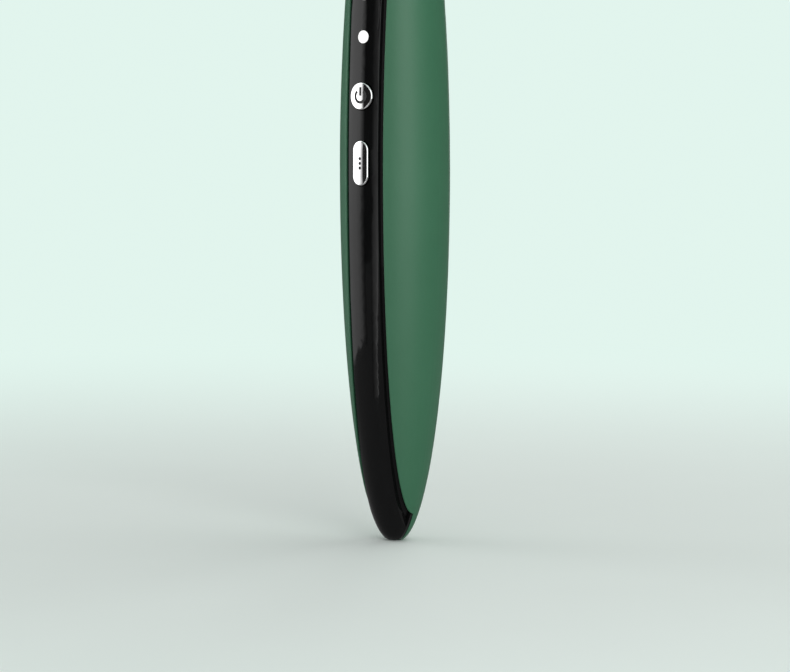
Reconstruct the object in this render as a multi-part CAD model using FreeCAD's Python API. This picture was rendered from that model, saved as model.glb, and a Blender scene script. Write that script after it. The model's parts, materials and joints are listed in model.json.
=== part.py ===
import FreeCAD
import Part
import math
import os

# Eye massager wand standing on its tip: millimetres, +Z up along the wand, control strip facing -Y.

Vector = FreeCAD.Vector
ORIGIN = Vector(0, 0, 0)
ACROSS = Vector(1, 0, 0)
BACKWARD = Vector(0, 1, 0)
UP = Vector(0, 0, 1)
FULL_TURN = 360

# Body outline, a figure of revolution about the upright axis
body_diameter = 24.0
widest_height = 81.2
foot_diameter = 2.2
crown_height = 158.0
crown_share = 0.55
nose_fullness_share = 0.54
flank_fullness_share = 0.38
shell_wall = 1.8
nose_height = 9.0
overrun = 1.0
tolerance = 0.02
solver_steps = 60

# Slot down the front of the shell, and the strip that covers it
slot_share = 0.405
slot_floor = 0.3
slot_round = 0.25
cover_gap = 0.28
cover_wall = 1.8
cover_round = 0.2
groove_width = 0.62
groove_depth = 0.9

# Slanted massage head
head_tilt = 52.0
bezel_height = 3.6
bezel_gap = 0.12
bezel_rim = 1.0
bezel_round = 0.3
skirt_clearance = 0.15
skirt_wall = 0.8
skirt_depth = 3.0
ledge_drop = 2.0
ring_fit = 0.08
light_ring_width = 1.0
light_ring_proud = 0.15
ring_board_thickness = 0.5
ring_led_count = 12
ring_led_size = 0.5
ring_led_height = 0.3
ring_led_clearance = 0.05
plate_fit = 0.1
plate_dome = 1.4
plate_dome_radius = 60.0
plate_edge_round = 0.45
gasket_thickness = 0.4
heater_margin = 0.3
heater_thickness = 0.5
thermistor_width = 1.4
thermistor_thickness = 0.7
seal_drop = 0.6
seal_height = 1.2
seal_fit = 0.03
flex_width = 4.0
flex_thickness = 0.2
flex_lap = 6.0

# Controls along the front, measured down from the head's front rim
rim_to_indicator = 9.4
indicator_pitch = 9.2
indicator_to_power = 12.6
power_to_mode = 14.3
power_diameter = 5.8
mode_width = 4.0
mode_length = 9.6
button_proud = 0.6
button_round = 0.26
button_clearance = 0.2
button_travel = 0.35
button_seat = 2.7
seat_gap = 0.05
land_margin = 0.5
collar_margin = 0.6
collar_thickness = 0.7
stem_diameter = 2.4
stem_length = 0.55
touch_gap = 0.05

# Tactile switches behind the buttons
switch_width = 4.0
switch_height = 1.5
plunger_diameter = 2.2
plunger_proud = 0.6
plunger_inside = 0.7
plunger_spare = 0.1
plunger_clearance = 0.08

# Indicator lights
indicator_names = ["upper", "middle", "lower"]
indicator_diameter = 2.7
indicator_proud = 0.06
indicator_fit = 0.03
indicator_collar_margin = 0.4
indicator_collar_thickness = 0.5
led_width = 0.8
led_length = 1.6
led_height = 0.6
baffle_width = 6.4
baffle_hole_clearance = 0.15
baffle_margin = 1.0

# Main board and what is soldered to it
board_width = 9.0
board_thickness = 1.0
board_margin = 1.2
board_top_margin = 3.6
board_screw_spacing = 6.4
screw_diameter = 1.4
screw_head_diameter = 2.4
screw_head_height = 0.9
screw_reach = 1.3
screw_fit = 0.03
chip_width = 3.0
chip_height = 0.8
driver_length = 4.2
capacitor_width = 0.8
capacitor_length = 1.4
capacitor_height = 0.7
capacitor_spacing = 6.6

# Chassis that carries the boards, the cell and the motor
spine_width = 9.6
spine_thickness = 1.2
standoff_height = 0.4
standoff_diameter = 3.0
bulkhead_thickness = 2.0
bulkhead_gap = 0.7
chassis_fit = 0.2
trough_wall = 1.2

# Lithium cell and its welded tabs
battery_share = 5 / 12
battery_foot_height = 32.5
battery_round = 0.6
battery_end_room = 0.5
battery_clearance = 0.1
pad_thickness = 0.35
pad_fit = 0.02
pad_end_margin = 6.0
pad_width = 7.0
strip_width = 2.0
strip_thickness = 0.2
strip_spacing = 4.0
strip_lap = 3.0

# Charging inlet at the back
port_rise = 10.0
usb_width = 3.2
usb_length = 8.9
usb_depth = 7.4
usb_wall = 0.3
usb_recess = 0.4
usb_fit = 0.05
tongue_thickness = 0.7
tongue_length = 6.7
tongue_reach = 4.5
tongue_base = 1.5
port_seal_wall = 0.8
port_seal_depth = 1.5
port_seal_recess = 0.15
charge_board_width = 7.0
charge_board_length = 18.0
charge_board_thickness = 1.0
charge_screw_spacing = 14.6
charge_screw_reach = 3.0
post_diameter = 3.4
pin_count = 4
pin_pitch = 1.27
pin_width = 0.5
pin_fit = 0.03
header_width = 1.6
header_depth = 2.0
header_margin = 0.6
window_clearance = 0.4

# Vibration motor under the head
motor_share = 0.25
motor_length = 12.0
motor_edge_round = 0.3
sleeve_wall = 0.6
sleeve_length = 9.0
sleeve_fit = 0.03
sleeve_rise = 1.2
cradle_floor = 1.0
cradle_length = 7.0
cradle_width = 9.2
end_cap_share = 0.9
end_cap_height = 1.2
bush_diameter = 2.4
bush_length = 1.8
bush_proud = 0.6
shaft_diameter = 1.0
shaft_clearance = 0.04
shaft_well_clearance = 0.5
shaft_inside = 9.0
shaft_tip = 0.4
weight_share = 0.9
weight_hub_diameter = 2.2
weight_length = 4.0
weight_gap = 0.8
weight_headroom = 1.2
lead_diameter = 0.8
lead_spacing = 2.4
lead_bend = 2.0
lead_run = 1.5

# Outline worked out from the sizes above
widest_radius = body_diameter / 2
crown_radius = crown_share * widest_radius
slot_width = slot_share * body_diameter
battery_diameter = battery_share * body_diameter
motor_diameter = motor_share * body_diameter
end_cap_diameter = end_cap_share * motor_diameter
weight_diameter = weight_share * motor_diameter
lower_radii = [foot_diameter / 2, nose_fullness_share * widest_radius, widest_radius, widest_radius]
lower_heights = [0, 0, flank_fullness_share * widest_height, widest_height]
tilt_slope = math.tan(math.radians(head_tilt))


def bezier(poles, t):
    s = 1 - t
    return poles[0] * s**3 + 3 * poles[1] * s * s * t + 3 * poles[2] * s * t * t + poles[3] * t**3


def lower_parameter(height):
    low = 0.0
    high = 1.0
    for _ in range(solver_steps):
        middle = (low + high) / 2
        if bezier(lower_heights, middle) < height:
            low = middle
        else:
            high = middle
    return (low + high) / 2


def body_radius(height):
    if height < widest_height:
        return bezier(lower_radii, lower_parameter(height))
    rise = (height - widest_height) / (crown_height - widest_height)
    return widest_radius - (widest_radius - crown_radius) * rise**2


def upper_slope(height):
    span = crown_height - widest_height
    return -2 * (widest_radius - crown_radius) * (height - widest_height) / span**2


def head_plane(y, drop):
    """Height of the slanted rim plane over y, lowered by drop."""
    return crown_height + (y - crown_radius) * tilt_slope - drop


def rim_point(inset, angle, drop):
    """Point of the rim outline at an angle from the front, inset from the body's surface."""
    height = head_plane(0, 0)
    for _ in range(solver_steps):
        radius = body_radius(height) - inset
        height = head_plane(-radius * math.cos(angle), 0)
    return Vector(radius * math.sin(angle), -radius * math.cos(angle), height - drop)


# Heights of the controls
indicator_heights = []
for place in range(len(indicator_names)):
    indicator_heights.append(rim_point(0, 0, rim_to_indicator).z - place * indicator_pitch)
power_height = indicator_heights[-1] - indicator_to_power
mode_height = power_height - power_to_mode
port_height = mode_height + port_rise

# Outlines of the buttons: height of the middle, width and length
power_outline = (power_height, power_diameter, power_diameter)
mode_outline = (mode_height, mode_width, mode_length)


def guide_collar_front(height):
    """Place along Y where a light guide's collar meets the back of the cover."""
    reach = indicator_diameter / 2 + indicator_collar_margin
    inside = body_radius(height + reach) - cover_wall
    return seat_gap - math.sqrt(inside**2 - reach**2)


# Layers from the front to the back, as places along Y
collar_room = seat_gap + collar_thickness + stem_length + touch_gap
plunger_face = -(body_radius(power_height) - button_seat) + collar_room
switch_face = plunger_face + plunger_proud
board_front = switch_face + switch_height
board_back = board_front + board_thickness
spine_front = board_back + standoff_height
spine_back = spine_front + spine_thickness
baffle_face = guide_collar_front(indicator_heights[0]) + indicator_collar_thickness + touch_gap
battery_y = board_back + strip_thickness + battery_clearance + battery_diameter / 2
sleeve_radius = motor_diameter / 2 + sleeve_wall
motor_y = spine_back + cradle_floor + sleeve_fit + sleeve_radius
port_mouth = body_radius(port_height) - usb_recess
charge_back = port_mouth - usb_depth
charge_front = charge_back - charge_board_thickness

# Levels from the bottom to the top, as places along Z
board_bottom = mode_height - switch_width / 2 - board_margin
board_top = indicator_heights[0] + board_top_margin
lower_bulkhead_top = board_bottom - bulkhead_gap
battery_top = lower_bulkhead_top - bulkhead_thickness - battery_end_room
foot_bulkhead_top = battery_foot_height - battery_end_room
top_bulkhead_bottom = board_top + bulkhead_gap
weight_top = top_bulkhead_bottom - weight_headroom
weight_bottom = weight_top - weight_length
motor_top = weight_bottom - weight_gap
motor_bottom = motor_top - motor_length
lead_height = motor_bottom - end_cap_height - lead_run - lead_bend
board_screw_heights = [(mode_height + power_height) / 2, (power_height + indicator_heights[-1]) / 2]
charge_screw_heights = [port_height - charge_screw_spacing / 2, port_height + charge_screw_spacing / 2]

# Insets of the head's pieces from the body's surface
ring_inset = bezel_rim + ring_fit
ring_inner_inset = ring_inset + light_ring_width
plate_inset = ring_inner_inset + plate_fit
skirt_inset = shell_wall + skirt_clearance
bore_inset = skirt_inset + skirt_wall
board_drop = ledge_drop - ring_board_thickness
plate_drop = ledge_drop - gasket_thickness
heater_drop = plate_drop + heater_thickness
heater_inset = bore_inset + heater_margin


def block(width, y_low, y_high, z_low, z_high, x_middle=0):
    corner = Vector(x_middle - width / 2, y_low, z_low)
    return Part.makeBox(width, y_high - y_low, z_high - z_low, corner)


def rod_back(diameter, y_low, y_high, z, x=0):
    return Part.makeCylinder(diameter / 2, y_high - y_low, Vector(x, y_low, z), BACKWARD)


def rod_up(diameter, z_low, z_high, y, x=0):
    return Part.makeCylinder(diameter / 2, z_high - z_low, Vector(x, y, z_low), UP)


def stadium_back(width, length, y_low, y_high, z):
    """Upright slot shape with round ends, as a prism along Y."""
    reach = (length - width) / 2
    radius = width / 2
    corners = [Vector(radius, y_low, z - reach), Vector(radius, y_low, z + reach)]
    corners += [Vector(-radius, y_low, z + reach), Vector(-radius, y_low, z - reach)]
    crown = Vector(0, y_low, z + reach + radius)
    base = Vector(0, y_low, z - reach - radius)
    edges = [
        Part.LineSegment(corners[0], corners[1]).toShape(),
        Part.Arc(corners[1], crown, corners[2]).toShape(),
        Part.LineSegment(corners[2], corners[3]).toShape(),
        Part.Arc(corners[3], base, corners[0]).toShape(),
    ]
    return Part.Face(Part.Wire(edges)).extrude(BACKWARD * (y_high - y_low))


def outline_curves(inset, low, high):
    curves = []
    if low < widest_height:
        lower = Part.BezierCurve()
        lower.setPoles([Vector(r - inset, 0, z) for r, z in zip(lower_radii, lower_heights)])
        lower.segment(lower_parameter(low), lower_parameter(min(high, widest_height)))
        curves.append(lower.toShape())
    if high > widest_height:
        start = max(low, widest_height)
        middle = (start + high) / 2
        bend = body_radius(start) + upper_slope(start) * (middle - start)
        upper = Part.BezierCurve()
        upper.setPoles([
            Vector(body_radius(start) - inset, 0, start),
            Vector(bend - inset, 0, middle),
            Vector(body_radius(high) - inset, 0, high),
        ])
        curves.append(upper.toShape())
    return curves


def revolved(inset, low, high):
    """The body's figure of revolution, inset from its surface, between two heights."""
    curves = outline_curves(inset, low, high)
    start = curves[0].valueAt(curves[0].FirstParameter)
    end = curves[-1].valueAt(curves[-1].LastParameter)
    foot = Vector(0, 0, low)
    top = Vector(0, 0, high)
    first = Part.LineSegment(foot, start).toShape()
    last = Part.LineSegment(end, top).toShape()
    axis = Part.LineSegment(top, foot).toShape()
    return Part.Face(Part.Wire([first] + curves + [last, axis])).revolve(ORIGIN, UP, FULL_TURN)


body_top = crown_height + overrun


def above_head(drop):
    """Everything above the rim plane lowered by drop."""
    reach = body_diameter
    top = head_plane(reach, 0) + overrun
    points = [
        Vector(-reach, -reach, head_plane(-reach, drop)),
        Vector(-reach, reach, head_plane(reach, drop)),
        Vector(-reach, reach, top),
        Vector(-reach, -reach, top),
    ]
    return Part.Face(Part.makePolygon(points + points[:1])).extrude(ACROSS * (2 * reach))


def rim_face(inset):
    """Flat oval where the rim plane cuts the inset body."""
    reach = body_diameter
    points = [
        Vector(-reach, -reach, head_plane(-reach, 0)),
        Vector(reach, -reach, head_plane(-reach, 0)),
        Vector(reach, reach, head_plane(reach, 0)),
        Vector(-reach, reach, head_plane(reach, 0)),
    ]
    plane = Part.Face(Part.makePolygon(points + points[:1]))
    return plane.common(revolved(inset, widest_height, body_top + overrun)).Faces[0]


def rim_prism(inset, drop_top, drop_bottom):
    """Upright prism on the rim's oval, between two drops below the rim plane."""
    oval = rim_face(inset)
    oval.translate(UP * -drop_bottom)
    return oval.extrude(UP * (drop_bottom - drop_top))


def tilted_chip(width, height, place):
    """Small block that stands on the slanted rim plane."""
    chip = block(width, -width / 2, width / 2, 0, height)
    chip.rotate(ORIGIN, ACROSS, head_tilt)
    chip.translate(place)
    return chip


def outer_edges(shape, side):
    """Edges on the body's surface that lie on the two upright planes at plus and minus side."""
    found = []
    for edge in shape.Edges:
        middle = edge.valueAt((edge.FirstParameter + edge.LastParameter) / 2)
        on_side = abs(abs(middle.x) - side) < tolerance
        on_surface = abs(math.hypot(middle.x, middle.y) - body_radius(middle.z)) < tolerance
        if on_side and on_surface:
            found.append(edge)
    return found


def slot_tool(gap):
    """The slot's room, less a gap on every side."""
    half = slot_width / 2 - gap
    return block(2 * half, -body_diameter, -slot_floor - gap, -overrun, body_top)


def button_prism(button, growth, y_low, y_high):
    """A button's outline grown all round, as a prism along Y."""
    height, width, length = button
    if length > width:
        return stadium_back(width + 2 * growth, length + 2 * growth, y_low, y_high, height)
    return rod_back(width + 2 * growth, y_low, y_high, height)


def button_seat_place(button):
    """Place along Y of the flat seat that the cover keeps behind a button."""
    return -(body_radius(button[0]) - button_seat)


def body_shell():
    shell = revolved(0, 0, body_top).cut(slot_tool(0))
    shell = shell.makeFillet(slot_round, outer_edges(shell, slot_width / 2))
    shell = shell.cut(revolved(shell_wall, nose_height, body_top + overrun)).cut(above_head(bezel_height))
    hole = stadium_back(
        usb_width + 2 * (usb_fit + port_seal_wall + usb_fit),
        usb_length + 2 * (usb_fit + port_seal_wall + usb_fit),
        0, body_diameter, port_height,
    )
    return shell.cut(hole)


def front_cover():
    """Strip with a step all round, which leaves a dark groove beside the shell."""
    step = cover_gap + groove_width
    inside = revolved(cover_wall, nose_height, body_top + overrun)
    land_growth = button_clearance + collar_margin + land_margin
    for button in (power_outline, mode_outline):
        inside = inside.cut(button_prism(button, land_growth, -body_diameter, button_seat_place(button)))
    cover = revolved(0, 0, body_top).common(slot_tool(step))
    cover = cover.makeFillet(cover_round, outer_edges(cover, slot_width / 2 - step))
    flange = revolved(groove_depth, 0, body_top).common(slot_tool(cover_gap))
    cover = cover.fuse(flange).cut(inside).cut(above_head(bezel_height))
    for button in (power_outline, mode_outline):
        cover = cover.cut(button_prism(button, button_clearance, -body_diameter, 0))
    for height in indicator_heights:
        cover = cover.cut(rod_back(indicator_diameter + 2 * indicator_fit, -body_diameter, 0, height))
    return cover


def border_edges(faces):
    """Edges round a patch of faces, without those that two of the faces share."""
    edges = [edge for face in faces for edge in face.Edges]
    return [edge for edge in edges if sum(edge.isSame(other) for other in edges) == 1]


def button_skin(height, length):
    """Straight-sided round of the body's taper at a button, as far out as the button stands proud."""
    low = height - length
    high = height + length
    low_radius = body_radius(low) + button_proud
    high_radius = body_radius(high) + button_proud
    points = [Vector(0, 0, low), Vector(low_radius, 0, low), Vector(high_radius, 0, high), Vector(0, 0, high)]
    return Part.Face(Part.makePolygon(points + points[:1])).revolve(ORIGIN, UP, FULL_TURN)


def push_button(button):
    """Cap cut to the body's curve, with its retaining collar and its stem."""
    height, width, length = button
    seat = button_seat_place(button)
    collar_front = seat + seat_gap
    collar_back = collar_front + collar_thickness
    cap = button_prism(button, 0, -body_diameter, collar_back).common(button_skin(height, length))
    top = [face for face in cap.Faces if face.BoundBox.YMax < seat]
    cap = cap.makeFillet(button_round, border_edges(top))
    collar = button_prism(button, collar_margin, collar_front, collar_back)
    stem = rod_back(stem_diameter, collar_front, plunger_face - touch_gap, height)
    return cap.fuse([collar, stem]).removeSplitter()


def switch(height):
    depth = plunger_inside + button_travel + plunger_spare
    body = block(switch_width, switch_face, board_front, height - switch_width / 2, height + switch_width / 2)
    bore = plunger_diameter + 2 * plunger_clearance
    return body.cut(rod_back(bore, switch_face - overrun, switch_face + depth, height))


def plunger(height):
    return rod_back(plunger_diameter, plunger_face, switch_face + plunger_inside, height)


def indicator_lens(height):
    collar_front = guide_collar_front(height)
    collar_back = collar_front + indicator_collar_thickness
    skin = revolved(-indicator_proud, nose_height, body_top)
    guide = rod_back(indicator_diameter, -body_diameter, baffle_face - touch_gap, height).common(skin)
    collar_diameter = indicator_diameter + 2 * indicator_collar_margin
    collar = rod_back(collar_diameter, collar_front, collar_back, height)
    return guide.fuse(collar).removeSplitter()


def indicator_leds():
    chips = []
    for height in indicator_heights:
        low = height - led_length / 2
        chips.append(block(led_width, board_front - led_height, board_front, low, low + led_length))
    return Part.makeCompound(chips)


def light_baffle():
    reach = indicator_diameter / 2 + baffle_hole_clearance + baffle_margin
    low = indicator_heights[-1] - reach
    high = indicator_heights[0] + reach
    baffle = block(baffle_width, baffle_face, board_front, low, high)
    for height in indicator_heights:
        hole = indicator_diameter + 2 * baffle_hole_clearance
        baffle = baffle.cut(rod_back(hole, baffle_face - overrun, board_front + overrun, height))
    return baffle


def board_screw_places():
    places = []
    for height in board_screw_heights:
        places.append((-board_screw_spacing / 2, height))
        places.append((board_screw_spacing / 2, height))
    return places


def main_board():
    board = block(board_width, board_front, board_back, board_bottom, board_top)
    for x, height in board_screw_places():
        hole = screw_diameter + 2 * screw_fit
        board = board.cut(rod_back(hole, board_front - overrun, board_back + overrun, height, x))
    return board


def board_screws():
    screws = []
    for x, height in board_screw_places():
        shank = rod_back(screw_diameter, board_front, board_back + screw_reach, height, x)
        head = rod_back(screw_head_diameter, board_front - screw_head_height, board_front, height, x)
        screws.append(head.fuse(shank).removeSplitter())
    return Part.makeCompound(screws)


def chip(length, height):
    low = height - length / 2
    return block(chip_width, board_front - chip_height, board_front, low, low + length)


def board_capacitors():
    parts = []
    for height in (mode_height, power_height):
        for x in (-capacitor_spacing / 2, capacitor_spacing / 2):
            low = height - capacitor_length / 2
            face = board_front - capacitor_height
            parts.append(block(capacitor_width, face, board_front, low, low + capacitor_length, x))
    return Part.makeCompound(parts)


def behind(y, low, high):
    """Room behind y between two heights, as wide as the body."""
    return block(2 * body_diameter, y, body_diameter, low, high)


def chassis():
    trough_inner = battery_diameter / 2 + pad_thickness + 2 * pad_fit
    trough_outer = trough_inner + trough_wall
    foot_low = foot_bulkhead_top - bulkhead_thickness
    trough = rod_up(2 * trough_outer, foot_low, lower_bulkhead_top, battery_y)
    trough = trough.cut(rod_up(2 * trough_inner, foot_low - overrun, lower_bulkhead_top + overrun, battery_y))
    trough = trough.common(behind(battery_y, foot_low, lower_bulkhead_top))
    lower_low = lower_bulkhead_top - bulkhead_thickness
    top_high = top_bulkhead_bottom + bulkhead_thickness
    frame = [
        behind(spine_front, foot_low, foot_bulkhead_top),
        behind(spine_front, lower_low, lower_bulkhead_top),
        behind(spine_front, top_bulkhead_bottom, top_high),
        block(spine_width, spine_front, spine_back, lower_low, top_high),
    ]
    for x, height in board_screw_places():
        frame.append(rod_back(standoff_diameter, board_back, spine_back, height, x))
    for height in charge_screw_heights:
        frame.append(rod_back(post_diameter, spine_front, charge_front, height))
    cradle_low = motor_bottom + sleeve_rise + (sleeve_length - cradle_length) / 2
    frame.append(block(cradle_width, spine_front, motor_y, cradle_low, cradle_low + cradle_length))
    whole = trough.fuse(frame).common(revolved(shell_wall + chassis_fit, nose_height, body_top))
    room = 2 * (sleeve_radius + sleeve_fit)
    whole = whole.cut(rod_up(room, lead_height, weight_top, motor_y))
    for x, height in board_screw_places():
        hole = screw_diameter + 2 * screw_fit
        whole = whole.cut(rod_back(hole, board_back - overrun, board_back + screw_reach, height, x))
    for height in charge_screw_heights:
        hole = screw_diameter + 2 * screw_fit
        whole = whole.cut(rod_back(hole, charge_front - charge_screw_reach, charge_front + overrun, height))
    pins = pin_window()
    leads = lead_window()
    return whole.cut([pins, leads]).removeSplitter()


def pin_window():
    reach = (pin_count - 1) * pin_pitch / 2 + pin_width / 2 + window_clearance
    width = pin_width + 2 * window_clearance
    return block(width, spine_front - overrun, spine_back + overrun, port_height - reach, port_height + reach)


def lead_window():
    width = lead_spacing + lead_diameter + 2 * window_clearance
    reach = lead_diameter / 2 + window_clearance
    return block(width, spine_front - overrun, spine_back + overrun, lead_height - reach, lead_height + reach)


def battery():
    cell = rod_up(battery_diameter, battery_foot_height, battery_top, battery_y)
    rims = [edge for edge in cell.Edges if edge.Closed]
    return cell.makeFillet(battery_round, rims)


def battery_pad():
    inner = battery_diameter + 2 * pad_fit
    low = battery_foot_height + pad_end_margin
    high = battery_top - pad_end_margin
    pad = rod_up(inner + 2 * pad_thickness, low, high, battery_y)
    pad = pad.cut(rod_up(inner, low - overrun, high + overrun, battery_y))
    return pad.common(block(pad_width, battery_y, body_diameter, low, high))


def strip(x, end_low, end_high, low):
    """Flat tab across one end of the cell, bent up along the front to the board."""
    flat = block(strip_width, board_back, battery_y, end_low, end_high, x)
    upright = block(strip_width, board_back, board_back + strip_thickness, low, board_bottom + strip_lap, x)
    return flat.fuse(upright).removeSplitter()


def positive_strip():
    return strip(strip_spacing / 2, battery_top, battery_top + strip_thickness, battery_top)


def negative_strip():
    low = battery_foot_height - strip_thickness
    return strip(-strip_spacing / 2, low, battery_foot_height, low)


def usb_shell():
    outer = stadium_back(usb_width, usb_length, charge_back, port_mouth, port_height)
    inner = stadium_back(
        usb_width - 2 * usb_wall, usb_length - 2 * usb_wall,
        charge_back - overrun, port_mouth + overrun, port_height,
    )
    return outer.cut(inner)


def usb_tongue():
    width = usb_width - 2 * (usb_wall + usb_fit)
    length = usb_length - 2 * (usb_wall + usb_fit)
    base = stadium_back(width, length, charge_back, charge_back + tongue_base, port_height)
    low = port_height - tongue_length / 2
    tip = charge_back + tongue_base + tongue_reach
    tongue = block(tongue_thickness, charge_back, tip, low, low + tongue_length)
    return base.fuse(tongue).removeSplitter()


def port_seal():
    inner = 2 * usb_fit
    outer = inner + 2 * port_seal_wall
    low = port_mouth + usb_recess - port_seal_recess - port_seal_depth
    seal = stadium_back(usb_width + outer, usb_length + outer, low, body_diameter, port_height)
    seal = seal.cut(stadium_back(
        usb_width + inner, usb_length + inner, low - overrun, body_diameter + overrun, port_height,
    ))
    return seal.common(revolved(port_seal_recess, nose_height, body_top))


def charge_board():
    low = port_height - charge_board_length / 2
    board = block(charge_board_width, charge_front, charge_back, low, low + charge_board_length)
    for height in charge_screw_heights:
        hole = screw_diameter + 2 * screw_fit
        board = board.cut(rod_back(hole, charge_front - overrun, charge_back + overrun, height))
    return board


def charge_screws():
    screws = []
    for height in charge_screw_heights:
        shank = rod_back(screw_diameter, charge_front - charge_screw_reach, charge_back, height)
        head = rod_back(screw_head_diameter, charge_back, charge_back + screw_head_height, height)
        screws.append(head.fuse(shank).removeSplitter())
    return Part.makeCompound(screws)


def pin_heights():
    low = port_height - (pin_count - 1) * pin_pitch / 2
    return [low + place * pin_pitch for place in range(pin_count)]


def link_pins():
    pins = []
    for height in pin_heights():
        low = height - pin_width / 2
        pins.append(block(pin_width, board_back, charge_front, low, low + pin_width))
    return Part.makeCompound(pins)


def link_header():
    reach = (pin_count - 1) * pin_pitch / 2 + pin_width / 2 + header_margin
    front = charge_front - header_depth
    body = block(header_width, front, charge_front, port_height - reach, port_height + reach)
    for height in pin_heights():
        hole = pin_width + 2 * pin_fit
        low = height - hole / 2
        body = body.cut(block(hole, front - overrun, charge_front + overrun, low, low + hole))
    return body


def motor_can():
    can = rod_up(motor_diameter, motor_bottom, motor_top, motor_y)
    can = can.makeFillet(motor_edge_round, [edge for edge in can.Edges if edge.Closed])
    seat = motor_top + bush_proud - bush_length
    can = can.cut(rod_up(bush_diameter, seat, motor_top + overrun, motor_y))
    well = shaft_diameter + 2 * shaft_well_clearance
    return can.cut(rod_up(well, motor_top - shaft_inside - shaft_tip, motor_top, motor_y))


def motor_end_cap():
    return rod_up(end_cap_diameter, motor_bottom - end_cap_height, motor_bottom, motor_y)


def motor_bush():
    high = motor_top + bush_proud
    bush = rod_up(bush_diameter, high - bush_length, high, motor_y)
    bore = shaft_diameter + 2 * shaft_clearance
    return bush.cut(rod_up(bore, high - bush_length - overrun, high + overrun, motor_y))


def motor_sleeve():
    low = motor_bottom + sleeve_rise
    high = low + sleeve_length
    sleeve = rod_up(2 * sleeve_radius, low, high, motor_y)
    return sleeve.cut(rod_up(motor_diameter + 2 * sleeve_fit, low - overrun, high + overrun, motor_y))


def motor_shaft():
    return rod_up(shaft_diameter, motor_top - shaft_inside, weight_top + shaft_tip, motor_y)


def eccentric_weight():
    lobe = rod_up(weight_diameter, weight_bottom, weight_top, motor_y)
    lobe = lobe.common(behind(motor_y, weight_bottom, weight_top))
    weight = lobe.fuse(rod_up(weight_hub_diameter, weight_bottom, weight_top, motor_y)).removeSplitter()
    return weight.cut(rod_up(shaft_diameter, weight_bottom - overrun, weight_top + overrun, motor_y))


def motor_lead(x):
    """Wire from the motor's lower end, bent forward to the back of the main board."""
    top = motor_bottom - end_cap_height
    start = Vector(x, motor_y, top)
    turn_in = Vector(x, motor_y, top - lead_run)
    middle = Vector(
        x,
        motor_y - lead_bend * (1 - math.cos(math.pi / 4)),
        top - lead_run - lead_bend * math.sin(math.pi / 4),
    )
    turn_out = Vector(x, motor_y - lead_bend, lead_height)
    end = Vector(x, board_back, lead_height)
    path = Part.Wire([
        Part.LineSegment(start, turn_in).toShape(),
        Part.Arc(turn_in, middle, turn_out).toShape(),
        Part.LineSegment(turn_out, end).toShape(),
    ])
    section = Part.Wire(Part.makeCircle(lead_diameter / 2, start, UP))
    return path.makePipeShell([section], True, False)


def motor_leads():
    return Part.makeCompound([motor_lead(-lead_spacing / 2), motor_lead(lead_spacing / 2)])


def rim_edges(shape):
    """Edges round the body's surface in the rim plane."""
    found = []
    for edge in shape.Edges:
        middle = edge.valueAt((edge.FirstParameter + edge.LastParameter) / 2)
        on_plane = abs(middle.z - head_plane(middle.y, 0)) < tolerance
        on_surface = abs(math.hypot(middle.x, middle.y) - body_radius(middle.z)) < tolerance
        if on_plane and on_surface:
            found.append(edge)
    return found


def head_bezel():
    outer = revolved(0, widest_height, body_top).common(above_head(bezel_height - bezel_gap))
    outer = outer.cut(above_head(0))
    outer = outer.makeFillet(bezel_round, rim_edges(outer))
    skirt = rim_prism(skirt_inset, 0, bezel_height + skirt_depth)
    bezel = outer.fuse(skirt).cut(rim_prism(bezel_rim, -overrun, ledge_drop))
    bore = rim_prism(bore_inset, -overrun, bezel_height + skirt_depth + overrun)
    return bezel.cut(bore).removeSplitter()


def head_seal():
    """Soft ring between the bezel's skirt and the shell's inner wall."""
    top = bezel_height + seal_drop
    room = revolved(shell_wall + seal_fit, widest_height, body_top)
    ring = room.common(above_head(top + seal_height)).cut(above_head(top))
    return ring.cut(rim_prism(skirt_inset - seal_fit, 0, top + seal_height + overrun))


def ring_led_places():
    middle = (ring_inset + ring_inner_inset) / 2
    step = 2 * math.pi / ring_led_count
    return [rim_point(middle, place * step, board_drop) for place in range(ring_led_count)]


def light_ring():
    ring = rim_prism(ring_inset, -light_ring_proud, board_drop)
    ring = ring.cut(rim_prism(ring_inner_inset, -light_ring_proud - overrun, board_drop + overrun))
    pocket = ring_led_size + 2 * ring_led_clearance
    for place in ring_led_places():
        ring = ring.cut(tilted_chip(pocket, ring_led_height + ring_led_clearance, place))
    return ring


def ring_board():
    board = rim_prism(ring_inset, board_drop, ledge_drop)
    return board.cut(rim_prism(ring_inner_inset, board_drop - overrun, ledge_drop + overrun))


def ring_leds():
    chips = [tilted_chip(ring_led_size, ring_led_height, place) for place in ring_led_places()]
    return Part.makeCompound(chips)


def plate_middle():
    front = rim_point(plate_inset, 0, 0)
    back = rim_point(plate_inset, math.pi, 0)
    return (front + back) / 2


def massage_plate():
    outward = Vector(0, -math.sin(math.radians(head_tilt)), math.cos(math.radians(head_tilt)))
    plate = rim_prism(plate_inset, -plate_dome - overrun, plate_drop)
    ball = Part.makeSphere(plate_dome_radius, plate_middle() + outward * (plate_dome - plate_dome_radius))
    plate = plate.common(ball)
    dome = [face for face in plate.Faces if isinstance(face.Surface, Part.Sphere)]
    return plate.makeFillet(plate_edge_round, dome[0].Edges)


def plate_gasket():
    gasket = rim_prism(plate_inset, plate_drop, ledge_drop)
    return gasket.cut(rim_prism(bore_inset, plate_drop - overrun, ledge_drop + overrun))


def heater_film():
    return rim_prism(heater_inset, plate_drop, heater_drop)


def thermistor():
    middle = plate_middle()
    bead = tilted_chip(thermistor_width, thermistor_thickness, Vector(0, middle.y, 0))
    lift = head_plane(middle.y, heater_drop) - thermistor_thickness / math.cos(math.radians(head_tilt))
    bead.translate(UP * lift)
    return bead


def head_flex():
    flex = block(flex_width, board_back, board_back + flex_thickness, board_top - flex_lap, body_top)
    return flex.cut(above_head(heater_drop))


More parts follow.
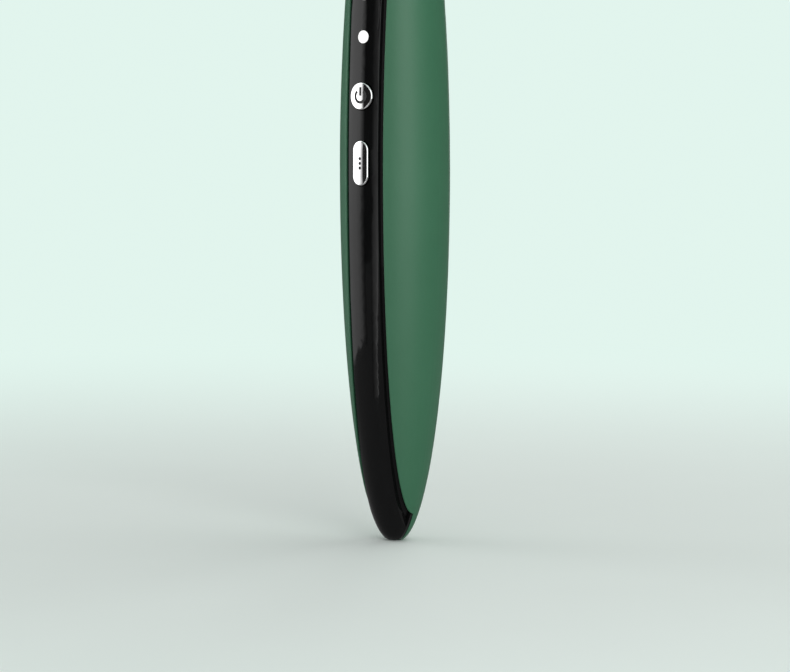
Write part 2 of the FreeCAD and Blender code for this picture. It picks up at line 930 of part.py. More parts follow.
pieces = {
    "body_shell": body_shell(),
    "front_cover": front_cover(),
    "power_button": push_button(power_outline),
    "mode_button": push_button(mode_outline),
    "power_switch": switch(power_height),
    "power_plunger": plunger(power_height),
    "mode_switch": switch(mode_height),
    "mode_plunger": plunger(mode_height),
    "indicator_leds": indicator_leds(),
    "light_baffle": light_baffle(),
    "main_board": main_board(),
    "board_screws": board_screws(),
    "controller_chip": chip(chip_width, board_screw_heights[0]),
    "driver_chip": chip(driver_length, board_screw_heights[1]),
    "board_capacitors": board_capacitors(),
    "chassis": chassis(),
    "battery": battery(),
    "battery_pad": battery_pad(),
    "positive_strip": positive_strip(),
    "negative_strip": negative_strip(),
    "usb_shell": usb_shell(),
    "usb_tongue": usb_tongue(),
    "port_seal": port_seal(),
    "charge_board": charge_board(),
    "charge_screws": charge_screws(),
    "link_pins": link_pins(),
    "link_header": link_header(),
    "motor_can": motor_can(),
    "motor_end_cap": motor_end_cap(),
    "motor_bush": motor_bush(),
    "motor_sleeve": motor_sleeve(),
    "motor_shaft": motor_shaft(),
    "eccentric_weight": eccentric_weight(),
    "motor_leads": motor_leads(),
    "head_bezel": head_bezel(),
    "head_seal": head_seal(),
    "light_ring": light_ring(),
    "ring_board": ring_board(),
    "ring_leds": ring_leds(),
    "massage_plate": massage_plate(),
    "plate_gasket": plate_gasket(),
    "heater_film": heater_film(),
    "thermistor": thermistor(),
    "head_flex": head_flex(),
}
for name, height in zip(indicator_names, indicator_heights):
    pieces["indicator_lens_" + name] = indicator_lens(height)

os.makedirs("parts", exist_ok=True)
for name, shape in pieces.items():
    shape.exportStep("parts/" + name + ".step")
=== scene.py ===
import json
import math

import bmesh
import bpy
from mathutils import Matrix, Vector
from mathutils.bvhtree import BVHTree


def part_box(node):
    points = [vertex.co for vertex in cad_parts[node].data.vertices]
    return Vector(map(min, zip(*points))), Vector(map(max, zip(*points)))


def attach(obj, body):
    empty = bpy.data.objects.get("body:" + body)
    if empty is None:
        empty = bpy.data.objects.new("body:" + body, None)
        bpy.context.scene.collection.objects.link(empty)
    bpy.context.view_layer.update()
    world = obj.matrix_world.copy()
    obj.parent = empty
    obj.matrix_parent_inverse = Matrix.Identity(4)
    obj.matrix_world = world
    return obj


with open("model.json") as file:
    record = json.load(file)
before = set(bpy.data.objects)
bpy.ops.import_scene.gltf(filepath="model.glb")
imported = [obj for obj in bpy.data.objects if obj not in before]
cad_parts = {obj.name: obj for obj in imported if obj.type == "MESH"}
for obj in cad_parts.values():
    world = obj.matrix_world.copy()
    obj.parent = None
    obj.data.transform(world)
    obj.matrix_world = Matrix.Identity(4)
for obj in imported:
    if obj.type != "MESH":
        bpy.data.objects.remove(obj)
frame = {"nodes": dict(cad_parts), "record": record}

# Eye massager wand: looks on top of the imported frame, in metres, control strip facing -Y

MM = 0.001
scene = bpy.context.scene
nodes = frame["nodes"]
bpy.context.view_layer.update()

# Camera
CAMERA_AZIMUTH = 37.2
CAMERA_ELEVATION = 6.0
CAMERA_DISTANCE = 0.6
CAMERA_LENS = 124.9
CAMERA_SENSOR = 36.0
CAMERA_NEAR = 0.01
CAMERA_AIM = Vector((0.0, 0.0, 45.1 * MM))

# Surroundings: the floor fades into the background between two distances from the object
BACKGROUND = (0.76, 0.91, 0.85)
FLOOR_PALE = (0.86, 0.94, 0.90)
FLOOR_MOTTLE_SIZE = 40 * MM
FLOOR_MOTTLE_DARKER = 0.99
FLOOR_RADIUS = 6.0
FLOOR_SIDES = 96
FLOOR_ROUGH = 0.6
FLOOR_FADE = (0.05, 0.40)
AMBIENT = 0.45


def direction(azimuth, elevation):
    """Unit vector towards a place round the object: azimuth 0 is in front of the strip, 90 is its right."""
    across = math.radians(azimuth)
    up = math.radians(elevation)
    return Vector((math.sin(across) * math.cos(up), -math.cos(across) * math.cos(up), math.sin(up)))


def shares(count):
    """Even steps from 0 to 1."""
    return [step / count for step in range(count + 1)]


def add_object(name, shape):
    """Puts a bmesh into the scene as an object."""
    mesh = bpy.data.meshes.new(name)
    shape.to_mesh(mesh)
    shape.free()
    made = bpy.data.objects.new(name, mesh)
    scene.collection.objects.link(made)
    return made


# Materials

# The middle range of Blender's noise, which the materials spread over their own range
NOISE_LOW = 0.3
NOISE_HIGH = 0.7
EVEN = (1, 1, 1)


def new_material(name):
    material = bpy.data.materials.new(name)
    material.use_nodes = True
    tree = material.node_tree
    return material, tree, tree.nodes["Principled BSDF"]


def noise(tree, size, detail=3.0, stretch=EVEN):
    """Noise over the piece whose blotches are about that size in metres, stretched along the axes."""
    coords = tree.nodes.new("ShaderNodeTexCoord")
    mapping = tree.nodes.new("ShaderNodeMapping")
    mapping.inputs["Scale"].default_value = [1 / s for s in stretch]
    tree.links.new(coords.outputs["Object"], mapping.inputs["Vector"])
    texture = tree.nodes.new("ShaderNodeTexNoise")
    texture.inputs["Scale"].default_value = 1 / size
    texture.inputs["Detail"].default_value = detail
    tree.links.new(mapping.outputs["Vector"], texture.inputs["Vector"])
    return texture.outputs["Fac"]


def spread(tree, value, low, high):
    """The noise's middle range mapped to low..high."""
    node = tree.nodes.new("ShaderNodeMapRange")
    node.inputs["From Min"].default_value = NOISE_LOW
    node.inputs["From Max"].default_value = NOISE_HIGH
    node.inputs["To Min"].default_value = low
    node.inputs["To Max"].default_value = high
    tree.links.new(value, node.inputs["Value"])
    return node.outputs["Result"]


def tint(tree, value, dark, light):
    """Colour between dark and light, as the noise says."""
    node = tree.nodes.new("ShaderNodeMix")
    node.data_type = "RGBA"
    node.inputs["A"].default_value = (*dark, 1)
    node.inputs["B"].default_value = (*light, 1)
    tree.links.new(spread(tree, value, 0.0, 1.0), node.inputs["Factor"])
    return node.outputs["Result"]


def bump(tree, shader, height, depth):
    """Raises the surface by up to that depth, as the noise says."""
    node = tree.nodes.new("ShaderNodeBump")
    node.inputs["Strength"].default_value = 1.0
    node.inputs["Distance"].default_value = depth
    tree.links.new(height, node.inputs["Height"])
    tree.links.new(node.outputs["Normal"], shader.inputs["Normal"])


def finish(name, dark, light, rough, blotch, grain, depth, stretch=EVEN, metallic=0.0):
    """Material with mottled colour and roughness, and a fine surface grain."""
    material, tree, shader = new_material(name)
    mottle = noise(tree, blotch, detail=4.0, stretch=stretch)
    fine = noise(tree, grain, detail=2.0, stretch=stretch)
    tree.links.new(tint(tree, mottle, dark, light), shader.inputs["Base Color"])
    tree.links.new(spread(tree, fine, *rough), shader.inputs["Roughness"])
    bump(tree, shader, fine, depth)
    shader.inputs["Metallic"].default_value = metallic
    return material


def polished_metal(name, dark, light, rough, grain, depth, stretch):
    """Bright metal with fine polishing marks, drawn out along one axis."""
    material, tree, shader = new_material(name)
    lines = noise(tree, grain, stretch=stretch)
    tree.links.new(tint(tree, lines, dark, light), shader.inputs["Base Color"])
    tree.links.new(spread(tree, lines, *rough), shader.inputs["Roughness"])
    bump(tree, shader, lines, depth)
    shader.inputs["Metallic"].default_value = 1.0
    return material


def chrome_material(name, rough):
    """Bright plating, with hairline polishing marks."""
    return polished_metal(name, dark=(0.80, 0.80, 0.81), light=(0.88, 0.88, 0.88), rough=rough,
                          grain=0.25 * MM, depth=0.0004 * MM, stretch=(1, 1, 8))


def plate_material():
    """Polished stainless steel with fine satin lines across the slant."""
    return polished_metal("plate_polished_steel", dark=(0.62, 0.60, 0.57), light=(0.72, 0.71, 0.69),
                          rough=(0.10, 0.20), grain=0.12 * MM, depth=0.0006 * MM, stretch=(40, 1, 1))


SHELL_GREENS = ((0.034, 0.145, 0.073), (0.038, 0.154, 0.079))
SHELL_FLECK = (0.052, 0.176, 0.098)
SHELL_CLOUD_SIZE = 14 * MM
SHELL_FLECK_SIZE = 0.18 * MM
SHELL_FLECK_SHARE = 0.35
SHELL_ROUGH = (0.42, 0.50)
SHELL_PEEL_SIZE = 0.5 * MM
SHELL_PEEL_DEPTH = 0.004 * MM
SHELL_IOR = 1.48


def shell_material():
    """Satin green lacquer: a faint lighter fleck, and slight orange peel on the surface."""
    material, tree, shader = new_material("shell_green_satin")
    fleck = noise(tree, SHELL_FLECK_SIZE, detail=2.0)
    light = tree.nodes.new("ShaderNodeMix")
    light.data_type = "RGBA"
    light.inputs["B"].default_value = (*SHELL_FLECK, 1)
    tree.links.new(spread(tree, fleck, 0.0, SHELL_FLECK_SHARE), light.inputs["Factor"])
    tree.links.new(tint(tree, noise(tree, SHELL_CLOUD_SIZE), *SHELL_GREENS), light.inputs["A"])
    tree.links.new(light.outputs["Result"], shader.inputs["Base Color"])
    tree.links.new(spread(tree, fleck, *SHELL_ROUGH), shader.inputs["Roughness"])
    bump(tree, shader, noise(tree, SHELL_PEEL_SIZE, detail=2.0), SHELL_PEEL_DEPTH)
    shader.inputs["IOR"].default_value = SHELL_IOR
    return material


# The strip's index is below that of real plastic, so that it mirrors less of the pale floor
PANEL_BLACKS = ((0.0046, 0.0046, 0.0048), (0.0056, 0.0056, 0.0058))
PANEL_ROUGH = (0.05, 0.09)
PANEL_WIPE_SIZE = 1.6 * MM
PANEL_WIPE_STRETCH = (1, 1, 5)
PANEL_WAVE_SIZE = 3 * MM
PANEL_WAVE_DEPTH = 0.0003 * MM
PANEL_IOR = 1.30


def panel_material():
    """Black gloss strip, with the faintest wipe marks in its polish."""
    material, tree, shader = new_material("panel_black_gloss")
    wipe = noise(tree, PANEL_WIPE_SIZE, detail=4.0, stretch=PANEL_WIPE_STRETCH)
    tree.links.new(tint(tree, wipe, *PANEL_BLACKS), shader.inputs["Base Color"])
    tree.links.new(spread(tree, wipe, *PANEL_ROUGH), shader.inputs["Roughness"])
    bump(tree, shader, noise(tree, PANEL_WAVE_SIZE, detail=1.0), PANEL_WAVE_DEPTH)
    shader.inputs["IOR"].default_value = PANEL_IOR
    return material


LENS_MILK_SIZE = 0.6 * MM
LENS_MILK_DARKER = 0.95
LENS_ROUGH = (0.22, 0.32)
LENS_BUMP = 0.001 * MM
LENS_SCATTER = 0.3
LENS_SCATTER_REACH = 0.4 * MM
LENS_GLOW = (1.0, 1.0, 0.98)


def lens_material(name, tone, glow):
    """Milky light guide, lit from behind."""
    material, tree, shader = new_material(name)
    milk = noise(tree, LENS_MILK_SIZE)
    darker = [c * LENS_MILK_DARKER for c in tone]
    tree.links.new(tint(tree, milk, darker, tone), shader.inputs["Base Color"])
    tree.links.new(spread(tree, milk, *LENS_ROUGH), shader.inputs["Roughness"])
    bump(tree, shader, milk, LENS_BUMP)
    shader.inputs["Subsurface Weight"].default_value = LENS_SCATTER
    shader.inputs["Subsurface Radius"].default_value = [LENS_SCATTER_REACH] * 3
    shader.inputs["Subsurface Scale"].default_value = 1.0
    shader.inputs["Emission Color"].default_value = (*LENS_GLOW, 1)
    shader.inputs["Emission Strength"].default_value = glow
    return material


finishes = {
    "shell_green": shell_material(),
    "panel_black": panel_material(),
    "button_chrome": chrome_material("button_chrome_polished", rough=(0.05, 0.09)),
    "bezel_chrome": chrome_material("bezel_chrome_satin", rough=(0.20, 0.27)),
    "plate_steel": plate_material(),
    "lens_white": lens_material("indicator_lens_milky", tone=(0.93, 0.93, 0.92), glow=0.5),
    "ring_frosted": lens_material("light_ring_frosted", tone=(0.80, 0.81, 0.80), glow=0.06),
    "rubber_black": finish("rubber_matt", dark=(0.016, 0.016, 0.016), light=(0.026, 0.026, 0.026),
                           rough=(0.65, 0.8), blotch=2 * MM, grain=0.15 * MM, depth=0.01 * MM),
    "film_amber": finish("film_polyimide", dark=(0.36, 0.13, 0.02), light=(0.48, 0.20, 0.04),
                         rough=(0.25, 0.4), blotch=3 * MM, grain=0.4 * MM, depth=0.004 * MM),
    "board_green": finish("board_solder_mask", dark=(0.012, 0.12, 0.045), light=(0.022, 0.17, 0.065),
                          rough=(0.3, 0.45), blotch=1.5 * MM, grain=0.3 * MM, depth=0.01 * MM),
    "board_white": finish("board_white_mask", dark=(0.70, 0.70, 0.67), light=(0.80, 0.80, 0.78),
                          rough=(0.35, 0.5), blotch=1.5 * MM, grain=0.3 * MM, depth=0.01 * MM),
    "led_white": finish("led_clear_resin", dark=(0.82, 0.78, 0.55), light=(0.92, 0.90, 0.74),
                        rough=(0.12, 0.22), blotch=0.4 * MM, grain=0.2 * MM, depth=0.004 * MM),
    "moulded_black": finish("moulded_black_matt", dark=(0.012, 0.012, 0.013), light=(0.022, 0.022, 0.023),
                            rough=(0.45, 0.6), blotch=1.2 * MM, grain=0.12 * MM, depth=0.01 * MM),
    "ceramic_tan": finish("capacitor_ceramic", dark=(0.38, 0.27, 0.17), light=(0.50, 0.38, 0.26),
                          rough=(0.4, 0.55), blotch=0.5 * MM, grain=0.1 * MM, depth=0.006 * MM),
    "steel_plain": finish("steel_bright_turned", dark=(0.48, 0.48, 0.47), light=(0.62, 0.62, 0.61),
                          rough=(0.22, 0.36), blotch=0.8 * MM, grain=0.08 * MM, depth=0.002 * MM,
                          stretch=(1, 1, 0.2), metallic=1.0),
    "chassis_grey": finish("chassis_moulded", dark=(0.26, 0.27, 0.28), light=(0.33, 0.34, 0.35),
                           rough=(0.5, 0.65), blotch=4 * MM, grain=0.2 * MM, depth=0.012 * MM),
    "cell_wrap": finish("cell_shrink_wrap", dark=(0.02, 0.12, 0.25), light=(0.04, 0.19, 0.34),
                        rough=(0.2, 0.34), blotch=5 * MM, grain=0.6 * MM, depth=0.01 * MM),
    "nickel_tab": finish("nickel_strip", dark=(0.50, 0.48, 0.44), light=(0.64, 0.62, 0.58),
                         rough=(0.25, 0.4), blotch=1.0 * MM, grain=0.1 * MM, depth=0.002 * MM,
                         stretch=(1, 1, 6), metallic=1.0),
    "plunger_ivory": finish("plunger_moulded", dark=(0.62, 0.58, 0.47), light=(0.74, 0.70, 0.60),
                            rough=(0.4, 0.55), blotch=0.6 * MM, grain=0.1 * MM, depth=0.006 * MM),
    "brass_plain": finish("brass_bright", dark=(0.62, 0.43, 0.15), light=(0.78, 0.57, 0.24),
                          rough=(0.2, 0.35), blotch=0.6 * MM, grain=0.08 * MM, depth=0.002 * MM,
                          metallic=1.0),
    "lead_red": finish("lead_insulation", dark=(0.34, 0.012, 0.012), light=(0.46, 0.022, 0.02),
                       rough=(0.4, 0.55), blotch=1.0 * MM, grain=0.1 * MM, depth=0.004 * MM),
    "mark_dark": finish("mark_engraved", dark=(0.010, 0.010, 0.011), light=(0.020, 0.020, 0.021),
                        rough=(0.55, 0.7), blotch=0.3 * MM, grain=0.06 * MM, depth=0.004 * MM),
}
for entry in frame["record"]["subparts"]:
    piece = nodes[entry["node"]]
    for holder in piece.material_slots:
        holder.material = finishes[entry["material_slot"]]


# Rays that find the surfaces of the CAD's nodes, from well outside the object

AWAY = 0.1


def faces(node):
    """A node's faces, for rays."""
    mesh = nodes[node].data
    return BVHTree.FromPolygons([v.co for v in mesh.vertices], [p.vertices for p in mesh.polygons])


def front_surface(node):
    """Gives the place along Y of a node's front at any x and z."""
    tree = faces(node)

    def place(x, z):
        return tree.ray_cast(Vector((x, -AWAY, z)), Vector((0, 1, 0)))[0].y

    return place


# Signs on the caps of the buttons

MARK_RISE = 0.03 * MM
MARK_SINK = 0.05 * MM
MARK_COLUMNS = 4


def mark(name, node, body, ribbons):
    """Thin inlay that follows a cap's curve. A ribbon is rows of points, each row across its width."""
    front = front_surface(node)
    low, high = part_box(node)
    middle = (low.z + high.z) / 2
    shape = bmesh.new()
    for ribbon in ribbons:
        sheets = []
        for sink in (-MARK_RISE, MARK_SINK):
            sheet = []
            for row in ribbon:
                places = [(x, front(x, middle + z) + sink, middle + z) for x, z in row]
                sheet.append([shape.verts.new(place) for place in places])
            sheets.append(sheet)
        top, under = sheets
        for sheet in sheets:
            for before, after in zip(sheet, sheet[1:]):
                for place in range(len(before) - 1):
                    shape.faces.new((before[place], after[place], after[place + 1], before[place + 1]))
        for side in (0, -1):
            for place in range(len(top) - 1):
                walls = (top[place][side], top[place + 1][side], under[place + 1][side], under[place][side])
                shape.faces.new(walls)
        for end in (0, -1):
            for place in range(len(top[end]) - 1):
                walls = (top[end][place], top[end][place + 1], under[end][place + 1], under[end][place])
                shape.faces.new(walls)
    bmesh.ops.recalc_face_normals(shape, faces=shape.faces)
    piece = add_object(name, shape)
    piece.data.materials.append(finishes["mark_dark"])
    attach(piece, body)


def arc_ribbon(radius, width, start, end, steps):
    """Ribbon round the cap's middle, from one clock angle in degrees to another."""
    ribbon = []
    for along in shares(steps):
        angle = math.radians(start + (end - start) * along)
        reaches = [radius + width * (across - 0.5) for across in shares(MARK_COLUMNS)]
        ribbon.append([(reach * math.sin(angle), reach * math.cos(angle)) for reach in reaches])
    return ribbon


def bar_ribbon(width, low, high, steps):
    """Upright ribbon between two heights over the cap's middle."""
    heights = [low + (high - low) * along for along in shares(steps)]
    return [[(width * (across - 0.5), z) for across in shares(MARK_COLUMNS)] for z in heights]


def dot_ribbon(radius, rows, z):
    """Round dot about a height, cut into level rows."""
    ribbon = []
    for place in range(rows):
        angle = math.pi * (place + 0.5) / rows
        reach = radius * math.sin(angle)
        height = z - radius * math.cos(angle)
        ribbon.append([(reach * (2 * across - 1), height) for across in shares(MARK_COLUMNS)])
    return ribbon


# Power sign: a ring, open by the gap's angle on both sides of the top, and a bar
POWER_RING = 1.3 * MM
POWER_STROKE = 0.58 * MM
POWER_GAP = 38
POWER_BAR_LOW = 0.1 * MM
POWER_BAR_HIGH = 1.95 * MM
POWER_RING_STEPS = 48
POWER_BAR_STEPS = 6
mark("power_mark", "power_button", "power_key", [
    arc_ribbon(POWER_RING, POWER_STROKE, POWER_GAP, 360 - POWER_GAP, POWER_RING_STEPS),
    bar_ribbon(POWER_STROKE, POWER_BAR_LOW, POWER_BAR_HIGH, POWER_BAR_STEPS),
])

# Three dots in place of the photo's lettering
DOT_RADIUS = 0.34 * MM
DOT_PITCH = 1.0 * MM
DOT_ROWS = 12
mark("mode_mark", "mode_button", "mode_key", [
    dot_ribbon(DOT_RADIUS, DOT_ROWS, place * DOT_PITCH) for place in (-1, 0, 1)
])


# Contacts on both faces of the charging socket's tongue

CONTACT_COUNT = 10
CONTACT_PITCH = 0.5 * MM
CONTACT_WIDTH = 0.26 * MM
CONTACT_THICK = 0.04 * MM
CONTACT_FROM_MIDDLE = 0.35 * MM
CONTACT_TIP = 0.45 * MM
CONTACT_ROOT = 3.6 * MM
CONTACT_BEVEL = 0.012 * MM


def contact_strips():
    low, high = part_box("usb_tongue")
    shape = bmesh.new()
    tip = high.y - CONTACT_TIP
    root = high.y - CONTACT_ROOT
    middle = (low.z + high.z) / 2
    for side in (-1, 1):
        for place in range(CONTACT_COUNT):
            row = middle + (place - (CONTACT_COUNT - 1) / 2) * CONTACT_PITCH
            made = bmesh.ops.create_cube(shape, size=1.0)["verts"]
            for vertex in made:
                x = side * (CONTACT_FROM_MIDDLE + vertex.co.x * CONTACT_THICK)
                y = (tip + root) / 2 + vertex.co.y * (tip - root)
                z = row + vertex.co.z * CONTACT_WIDTH
                vertex.co = Vector((x, y, z))
    bmesh.ops.bevel(shape, geom=shape.edges[:], offset=CONTACT_BEVEL, segments=1, affect="EDGES")
    piece = add_object("usb_contacts", shape)
    piece.data.materials.append(finishes["brass_plain"])
    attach(piece, "handle")


contact_strips()


# Trim that fills the groove across the tip, one bar on each side

TRIM_LOW = 0.3 * MM
TRIM_MEASURED = 2.0 * MM
TRIM_HIGH = 6.6 * MM
TRIM_INSET = 0.12 * MM
TRIM_DEPTH = 0.7 * MM
TRIM_STEPS = 16


def tip_trim():
    shell = faces("body_shell")
    back = front_surface("body_shell")(0, TRIM_MEASURED)

    def outer_side(z):
        """As far out as the shell's surface at the tip, and as the slot's wall above it."""
        surface = shell.ray_cast(Vector((AWAY, back + TRIM_INSET, z)), Vector((-1, 0, 0)))[0]
        wall = shell.ray_cast(Vector((0, back - TRIM_INSET, z)), Vector((1, 0, 0)))[0]
        return min(surface.x - TRIM_INSET, wall.x if wall else AWAY)

    behind = Vector((outer_side(TRIM_MEASURED) - TRIM_INSET, AWAY, TRIM_MEASURED))
    front = faces("front_cover").ray_cast(behind, Vector((0, -1, 0)))[0].y
    shape = bmesh.new()
    for side in (-1, 1):
        rings = []
        for along in shares(TRIM_STEPS):
            z = TRIM_LOW + (TRIM_HIGH - TRIM_LOW) * along
            outer = outer_side(z)
            inner = outer - TRIM_DEPTH
            corners = ((inner, front), (outer, front), (outer, back), (inner, back))
            rings.append([shape.verts.new((side * x, y, z)) for x, y in corners])
        for below, above in zip(rings, rings[1:]):
            for place in range(len(below)):
                after = (place + 1) % len(below)
                shape.faces.new((below[place], below[after], above[after], above[place]))
        for end in (rings[0], rings[-1]):
            shape.faces.new(end)
    bmesh.ops.recalc_face_normals(shape, faces=shape.faces)
    piece = add_object("tip_trim", shape)
    piece.data.materials.append(finishes["panel_black"])
    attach(piece, "handle")


tip_trim()


# Background, and the floor that fades into it

def background_weight(tree):
    """One on what the eye, a mirror or glass sees, and zero for the light that falls on the object."""
    rays = tree.nodes.new("ShaderNodeLightPath")
    value = rays.outputs["Is Camera Ray"]
    for other in ("Is Glossy Ray", "Is Transmission Ray"):
        node = tree.nodes.new("ShaderNodeMath")
        node.operation = "MAXIMUM"
        tree.links.new(value, node.inputs[0])
        tree.links.new(rays.outputs[other], node.inputs[1])
        value = node.outputs["Value"]
    return value


def make_world():
    world = bpy.data.worlds.new("studio")
    scene.world = world
    world.use_nodes = True
    tree = world.node_tree
    ambient = tree.nodes["Background"]
    ambient.inputs["Color"].default_value = (1, 1, 1, 1)
    ambient.inputs["Strength"].default_value = AMBIENT
    seen = tree.nodes.new("ShaderNodeBackground")
    seen.inputs["Color"].default_value = (*BACKGROUND, 1)
    mix = tree.nodes.new("ShaderNodeMixShader")
    tree.links.new(background_weight(tree), mix.inputs["Fac"])
    tree.links.new(ambient.outputs["Background"], mix.inputs[1])
    tree.links.new(seen.outputs["Background"], mix.inputs[2])
    tree.links.new(mix.outputs["Shader"], tree.nodes["World Output"].inputs["Surface"])


def floor_material():
    """Pale floor, which turns into the background's own colour further away."""
    material, tree, shader = new_material("floor_pale")
    darker = [c * FLOOR_MOTTLE_DARKER for c in FLOOR_PALE]
    mottle = noise(tree, FLOOR_MOTTLE_SIZE)
    tree.links.new(tint(tree, mottle, darker, FLOOR_PALE), shader.inputs["Base Color"])
    shader.inputs["Roughness"].default_value = FLOOR_ROUGH
    shader.inputs["Specular IOR Level"].default_value = 0.0
    coords = tree.nodes.new("ShaderNodeTexCoord")
    length = tree.nodes.new("ShaderNodeVectorMath")
    length.operation = "LENGTH"
    tree.links.new(coords.outputs["Object"], length.inputs[0])
    fade = tree.nodes.new("ShaderNodeMapRange")
    fade.interpolation_type = "SMOOTHSTEP"
    fade.inputs["From Min"].default_value = FLOOR_FADE[0]
    fade.inputs["From Max"].default_value = FLOOR_FADE[1]
    tree.links.new(length.outputs["Value"], fade.inputs["Value"])
    weight = tree.nodes.new("ShaderNodeMath")
    weight.operation = "MULTIPLY"
    tree.links.new(fade.outputs["Result"], weight.inputs[0])
    tree.links.new(background_weight(tree), weight.inputs[1])
    seen = tree.nodes.new("ShaderNodeEmission")
    seen.inputs["Color"].default_value = (*BACKGROUND, 1)
    mix = tree.nodes.new("ShaderNodeMixShader")
    tree.links.new(weight.outputs["Value"], mix.inputs["Fac"])
    tree.links.new(shader.outputs["BSDF"], mix.inputs[1])
    tree.links.new(seen.outputs["Emission"], mix.inputs[2])
    tree.links.new(mix.outputs["Shader"], tree.nodes["Material Output"].inputs["Surface"])
    return material


def make_floor():
    shape = bmesh.new()
    bmesh.ops.create_circle(shape, cap_ends=True, segments=FLOOR_SIDES, radius=FLOOR_RADIUS)
    floor = add_object("floor", shape)
    floor.data.materials.append(floor_material())


make_world()
make_floor()


# Lamps

def softbox(name, azimuth, elevation, distance, width, height, level, middle):
    """Rectangular lamp that faces a point over the floor; level is how bright its face looks."""
    lamp = bpy.data.lights.new(name, "AREA")
    lamp.shape = "RECTANGLE"
    lamp.size = width
    lamp.size_y = height
    lamp.energy = level * math.pi * width * height
    holder = bpy.data.objects.new(name, lamp)
    scene.collection.objects.link(holder)
    aim = Vector((0, 0, middle))
    holder.location = aim + direction(azimuth, elevation) * distance
    holder.rotation_euler = direction(azimuth, elevation).to_track_quat("Z", "Y").to_euler()


softbox("right_key", azimuth=61, elevation=0, distance=0.50,
        width=0.33, height=0.50, level=2.2, middle=0.251)
softbox("left_fill", azimuth=-70, elevation=25, distance=0.80,
        width=0.40, height=0.40, level=1.2, middle=0.08)
softbox("top_fill", azimuth=150, elevation=62, distance=0.80,
        width=0.50, height=0.50, level=1.2, middle=0.08)
softbox("back_fill", azimuth=205, elevation=15, distance=0.44,
        width=0.16, height=0.40, level=1.4, middle=0.10)


# Cards that only reflections see

CARD_STEPS = 24
FLOOR_CARD_SIDES = 64


def card_material():
    """Cloth of the cards, as bright as their glow attribute says."""
    material = bpy.data.materials.new("card_cloth")
    material.use_nodes = True
    tree = material.node_tree
    tree.nodes.remove(tree.nodes["Principled BSDF"])
    level = tree.nodes.new("ShaderNodeAttribute")
    level.attribute_name = "glow"
    glow = tree.nodes.new("ShaderNodeEmission")
    tree.links.new(level.outputs["Fac"], glow.inputs["Strength"])
    tree.links.new(glow.outputs["Emission"], tree.nodes["Material Output"].inputs["Surface"])
    return material


card_cloth = card_material()


def reflected_card(name, shape, levels):
    """Card from a bmesh and the glow at each of its points."""
    card = add_object(name, shape)
    glow = card.data.attributes.new("glow", "FLOAT", "POINT")
    glow.data.foreach_set("value", levels)
    card.visible_camera = False
    card.visible_diffuse = False
    card.visible_shadow = False
    card.visible_transmission = False
    card.data.materials.append(card_cloth)


def curved_card(name, radius, azimuths, rows, rise=0.0):
    """Card curved round the object.

    A row gives a height, the card's turn there in degrees and its glow at each azimuth. All heights climb
    by the rise, from the first azimuth to the last."""
    shape = bmesh.new()
    levels = []
    columns = []
    span = azimuths[-1] - azimuths[0]
    for place in range(len(azimuths) - 1):
        for along in shares(CARD_STEPS):
            azimuth = azimuths[place] + (azimuths[place + 1] - azimuths[place]) * along
            climb = rise * (azimuth - azimuths[0]) / span
            column = []
            for height, turn, glows in rows:
                point = direction(azimuth + turn, 0) * radius + Vector((0, 0, height + climb))
                column.append(shape.verts.new(point))
                levels.append(glows[place] + (glows[place + 1] - glows[place]) * along)
            columns.append(column)
    for before, after in zip(columns, columns[1:]):
        for row in range(len(rows) - 1):
            shape.faces.new((before[row], after[row], after[row + 1], before[row + 1]))
    reflected_card(name, shape, levels)


def even_rows(height, glows):
    """Rows of a card that is the same from the floor up to a height."""
    return [(0, 0, glows), (height, 0, glows)]


def floor_card(name, radius, lift, level):
    """Level card just over the floor."""
    shape = bmesh.new()
    bmesh.ops.create_circle(shape, cap_ends=True, segments=FLOOR_CARD_SIDES, radius=radius)
    for vertex in shape.verts:
        vertex.co.z = lift
    reflected_card(name, shape, [level] * len(shape.verts))


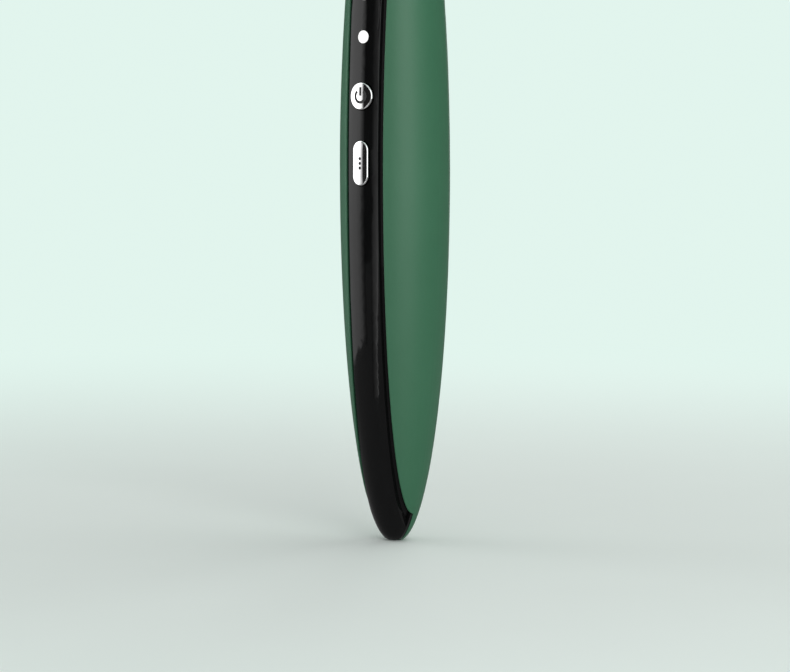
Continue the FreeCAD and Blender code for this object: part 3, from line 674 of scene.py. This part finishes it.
# The bank makes the grey band in the strip, and the thin card the line beside it
DARK = 0.012
curved_card("left_bank", radius=0.18, azimuths=(-75, -50, -40, -34, -28), rise=6 * MM, rows=[
    (2.4 * MM, 0, (0, 0, 0, 0, 0)),
    (6 * MM, 0, (1.3, 1.72, 1.36, 0.52, DARK)),
    (35 * MM, 0, (1.5, 2.0, 1.58, 0.6, DARK)),
    (52 * MM, 0, (1.5, 2.15, 1.65, 0.6, DARK)),
    (74 * MM, 0, (1.65, 2.5, 2.4, 1.2, DARK)),
    (96 * MM, 0, (1.9, 2.67, 2.75, 1.5, 0.1)),
    (400 * MM, 0, (1.9, 2.67, 2.75, 1.5, 0.1)),
])
curved_card("front_strip", radius=0.10, azimuths=(-9.5, 1.0, 1.6, 3.2, 3.5), rows=[
    (3.8 * MM, -7.6, (DARK, 1.05, 2.5, 2.5, DARK)),
    (27 * MM, -4.9, (DARK, 1.05, 2.5, 2.5, DARK)),
    (47 * MM, -2.6, (DARK, 1.5, 2.5, 2.5, DARK)),
    (70 * MM, 0, (DARK, 1.6, 2.7, 2.7, DARK)),
    (81 * MM, 0, (DARK, 1.6, 2.7, 2.7, DARK)),
    (100 * MM, 0, (DARK, 0.7, 1.6, 1.6, DARK)),
    (400 * MM, 0, (DARK, 0.6, 1.4, 1.4, DARK)),
])

# The screens keep the rest of the gloss dark
SCREEN_HEIGHT = 0.60
curved_card("front_screen", radius=0.45, azimuths=(-80, 2, 6, 40),
            rows=even_rows(SCREEN_HEIGHT, (DARK, DARK, 0.45, 0.6)))
curved_card("back_screen", radius=0.50, azimuths=(105, 280), rows=even_rows(SCREEN_HEIGHT, (0.12, 0.12)))
floor_card("floor_screen", radius=0.44, lift=0.5 * MM, level=0.25)


# Camera at the photograph's viewing angle

camera_data = bpy.data.cameras.new("photo_camera")
camera_data.sensor_fit = "HORIZONTAL"
camera_data.sensor_width = CAMERA_SENSOR
camera_data.lens = CAMERA_LENS
camera_data.clip_start = CAMERA_NEAR
camera = bpy.data.objects.new("photo_camera", camera_data)
scene.collection.objects.link(camera)
towards = direction(CAMERA_AZIMUTH, CAMERA_ELEVATION)
camera.location = CAMERA_AIM + towards * CAMERA_DISTANCE
camera.rotation_euler = towards.to_track_quat("Z", "Y").to_euler()
scene.camera = camera
scene.view_settings.view_transform = "Standard"

bpy.context.view_layer.update()
